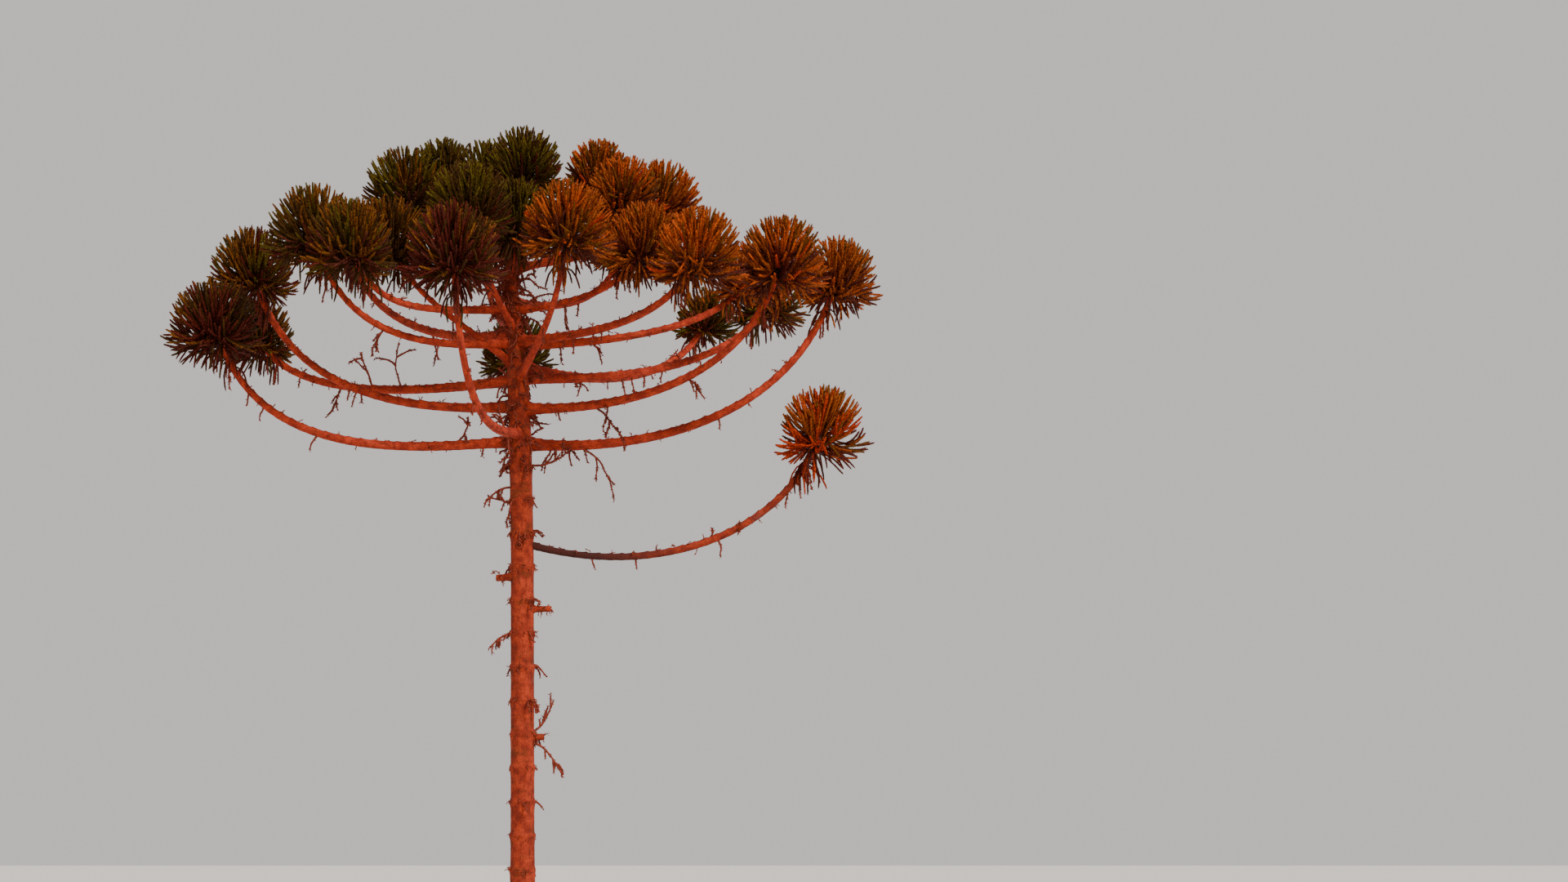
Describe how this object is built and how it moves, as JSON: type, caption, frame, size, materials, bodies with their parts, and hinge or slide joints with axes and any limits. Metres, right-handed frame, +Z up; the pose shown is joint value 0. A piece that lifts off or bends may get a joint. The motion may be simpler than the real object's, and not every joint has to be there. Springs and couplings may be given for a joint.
{
  "type": "parana pine tree",
  "caption": "Tall conifer with one bare trunk and an umbrella crown of rising boughs, each ending in a round tuft of needle-clad branchlets, and one lone bough lower down.",
  "frame": {"origin": "middle of the flat cut under the trunk, at ground level", "axes": "+Z up along the trunk, +X to the right of the front view towards the lone bough, +Y to the back"},
  "size_m": [15.6301, 13.5967, 17.8684],
  "materials": {
    "bark": "rough reddish-brown bark with grey patches, rings and fine cracks",
    "green_needles": "dark green needles in dense branchlets, some of them brown",
    "bronze_needles": "olive and bronze needles in dense branchlets, brown in the hanging skirts"
  },
  "bodies": {
    "root": {"trunk": "bark", "bough_lone_inner": "bark", "bough_lone_outer": "bark", "bough_low_left_inner": "bark", "bough_low_left_outer": "bark", "bough_low_right": "bark", "bough_low_front": "bark", "bough_low_back": "bark", "bough_second_left": "bark", "bough_second_right": "bark", "bough_third_left": "bark", "bough_third_right": "bark", "bough_third_back": "bark", "bough_third_inner": "bark", "bough_third_front": "bark", "bough_fourth_left": "bark", "bough_fourth_right": "bark", "bough_fourth_far": "bark", "bough_fifth_left": "bark", "bough_fifth_right": "bark", "bough_fifth_front": "bark", "bough_rear_left": "bark", "bough_rear_middle": "bark", "bough_rear_right": "bark", "bough_sixth_left": "bark", "bough_sixth_right": "bark", "bough_sixth_front": "bark", "bough_sixth_near": "bark", "bough_top_right": "bark", "bough_top_left": "bark", "bough_top_back": "bark", "mass_lone": "bronze_needles", "mass_low_left": "green_needles", "mass_low_right": "bronze_needles", "mass_low_front": "bronze_needles", "mass_low_back": "green_needles", "mass_second_left": "green_needles", "mass_second_right": "bronze_needles", "mass_third_left": "green_needles", "mass_third_right": "bronze_needles", "mass_third_back": "bronze_needles", "mass_third_inner": "green_needles", "mass_third_front": "bronze_needles", "mass_fourth_left": "green_needles", "mass_fourth_right": "bronze_needles", "mass_fourth_far": "bronze_needles", "mass_fifth_left": "bronze_needles", "mass_fifth_right": "bronze_needles", "mass_fifth_front": "green_needles", "mass_rear_left": "green_needles", "mass_rear_middle": "green_needles", "mass_rear_right": "bronze_needles", "mass_sixth_left": "green_needles", "mass_sixth_right": "bronze_needles", "mass_sixth_front": "green_needles", "mass_sixth_near": "bronze_needles", "mass_top_right": "bronze_needles", "mass_top_left": "green_needles", "mass_top_back": "green_needles", "mass_tip": "green_needles"}
  },
  "joints": []
}
